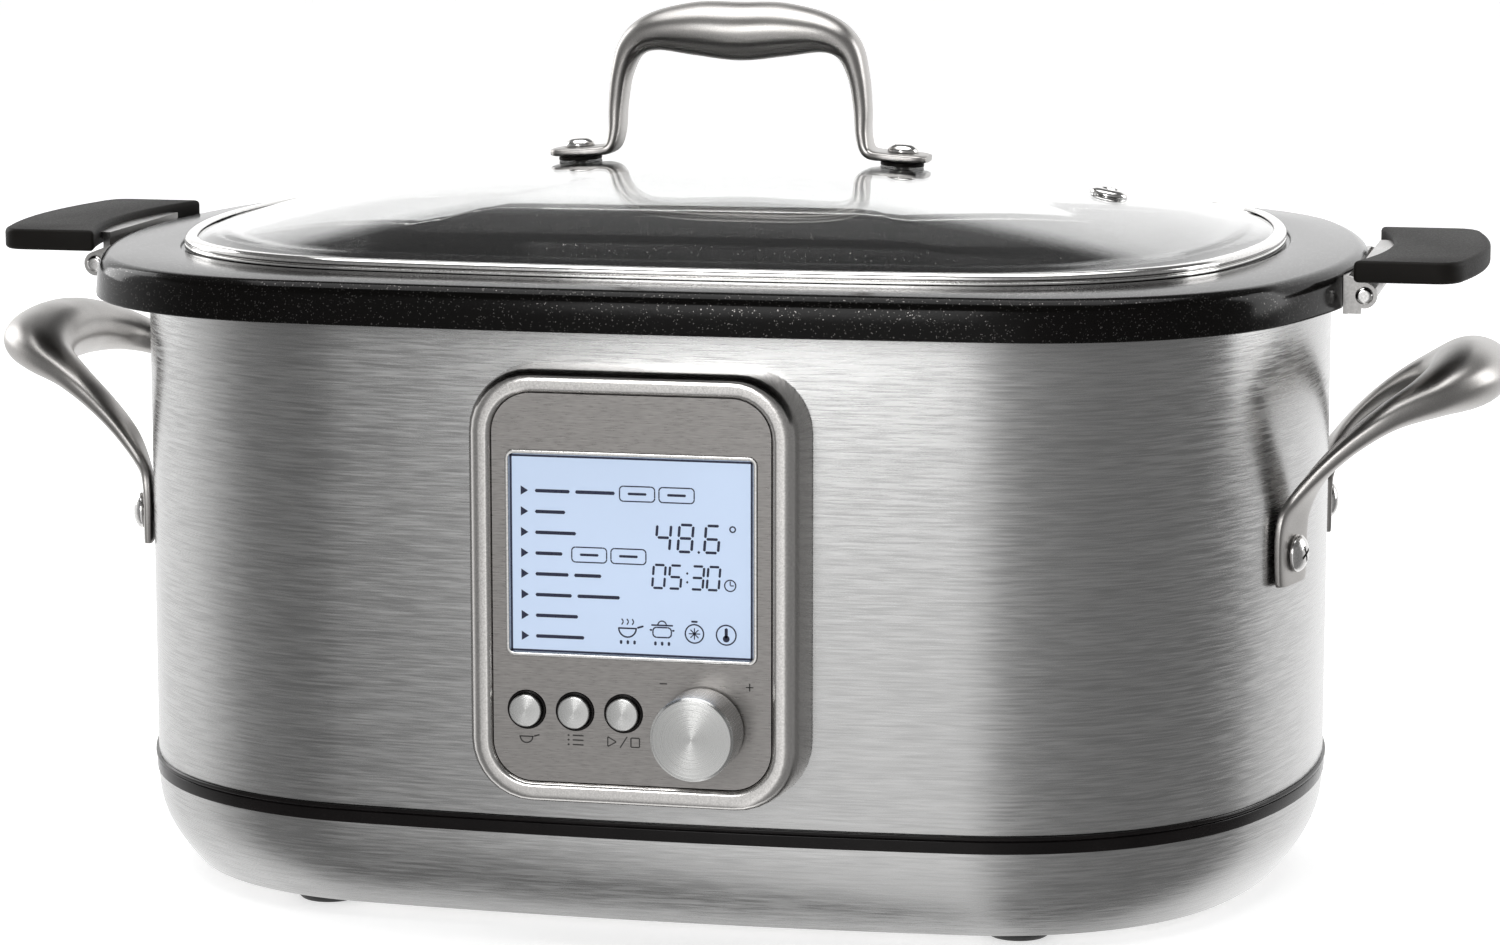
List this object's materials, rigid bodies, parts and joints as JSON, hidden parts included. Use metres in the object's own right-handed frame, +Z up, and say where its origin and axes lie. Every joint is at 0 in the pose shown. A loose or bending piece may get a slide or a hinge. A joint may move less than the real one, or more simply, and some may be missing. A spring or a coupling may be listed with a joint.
{
  "type": "slow cooker",
  "caption": "Oval steel slow cooker: lift-out dark cooking pot with folding grips, domed glass lid, steel side handles and a raised front panel with screen, push buttons and knob.",
  "frame": {"origin": "On the floor plane under the middle of the whole object's bounding box, at the soles of the feet.", "axes": "+X to the object's right as seen from the front, +Y from the front to the back, +Z up. The control panel faces -Y."},
  "size_m": [0.5296, 0.343, 0.2955],
  "materials": {
    "brushed_steel": "satin",
    "satin_steel": "satin",
    "polished_steel": "polished",
    "dark_pot_coating": "satin",
    "spun_aluminium": "satin",
    "clear_glass": "gloss",
    "display_glass": "gloss",
    "black_gloss": "gloss",
    "black_matte": "matte",
    "green_board": "matte",
    "black_silicone": "matte"
  },
  "bodies": {
    "housing": {"outer_shell": "brushed_steel", "heating_well": "satin_steel", "heating_plate": "spun_aluminium", "heating_element": "satin_steel", "temperature_sensor": "brushed_steel", "base_band": "black_gloss", "base_skirt": "brushed_steel", "bottom_plate": "satin_steel", "foot_front_left": "black_silicone", "foot_front_right": "black_silicone", "foot_rear_left": "black_silicone", "foot_rear_right": "black_silicone", "foot_screw_front_left": "brushed_steel", "foot_screw_front_right": "brushed_steel", "foot_screw_rear_left": "brushed_steel", "foot_screw_rear_right": "brushed_steel", "cord_gland": "black_matte", "side_handle_right": "satin_steel", "side_handle_left": "satin_steel", "side_handle_screw_right_front": "brushed_steel", "side_handle_screw_right_rear": "brushed_steel", "side_handle_screw_left_front": "brushed_steel", "side_handle_screw_left_rear": "brushed_steel", "panel_bezel": "polished_steel", "panel_face": "brushed_steel", "screen_frame": "polished_steel", "screen_window": "display_glass", "display_module": "black_matte", "control_board": "green_board", "button_ring_1": "black_gloss", "button_ring_2": "black_gloss", "button_ring_3": "black_gloss", "button_switch_strip": "black_matte", "knob_encoder": "satin_steel"},
    "pot": {"cooking_pot": "dark_pot_coating", "pot_bracket_right": "brushed_steel", "pot_bracket_left": "brushed_steel", "bracket_rivet_right_front": "brushed_steel", "bracket_rivet_right_rear": "brushed_steel", "bracket_rivet_left_front": "brushed_steel", "bracket_rivet_left_rear": "brushed_steel", "hinge_pin_right": "brushed_steel", "hinge_pin_left": "brushed_steel"},
    "pot_handle_right": {"pot_handle_arm_right": "brushed_steel", "pot_handle_grip_right": "black_silicone"},
    "pot_handle_left": {"pot_handle_arm_left": "brushed_steel", "pot_handle_grip_left": "black_silicone"},
    "lid": {"lid_glass": "clear_glass", "lid_rim": "polished_steel", "lid_handle": "satin_steel", "lid_washer_right": "black_silicone", "lid_washer_left": "black_silicone", "lid_rivet_right": "polished_steel", "lid_rivet_left": "polished_steel", "vent_grommet": "polished_steel"},
    "knob": {"knob": "spun_aluminium", "knob_shaft": "brushed_steel"},
    "button_1": {"button_1": "spun_aluminium"},
    "button_2": {"button_2": "spun_aluminium"},
    "button_3": {"button_3": "spun_aluminium"}
  },
  "joints": [
    {"name": "pot_lift", "type": "slide", "parent": "housing", "child": "pot", "axis": [0, 0, 1], "range_m": [0, 0.16]},
    {"name": "lid_lift", "type": "slide", "parent": "pot", "child": "lid", "axis": [0, 0, 1], "range_m": [0, 0.1]},
    {"name": "pot_handle_right_fold", "type": "hinge", "parent": "pot", "child": "pot_handle_right", "pos_m": [0.2195, 0.005, 0.2045], "axis": [0, 1, 0], "range_deg": [0, 28]},
    {"name": "pot_handle_left_fold", "type": "hinge", "parent": "pot", "child": "pot_handle_left", "pos_m": [-0.2195, 0.005, 0.2045], "axis": [0, -1, 0], "range_deg": [0, 28]},
    {"name": "knob_turn", "type": "hinge", "parent": "housing", "child": "knob", "pos_m": [0.0234, -0.16, 0.0745], "axis": [0, -1, 0], "continuous": true},
    {"name": "button_1_press", "type": "slide", "parent": "housing", "child": "button_1", "axis": [0, 1, 0], "range_m": [0, 0.0012], "stiffness_N_per_m": 800},
    {"name": "button_2_press", "type": "slide", "parent": "housing", "child": "button_2", "axis": [0, 1, 0], "range_m": [0, 0.0012], "stiffness_N_per_m": 800},
    {"name": "button_3_press", "type": "slide", "parent": "housing", "child": "button_3", "axis": [0, 1, 0], "range_m": [0, 0.0012], "stiffness_N_per_m": 800}
  ]
}
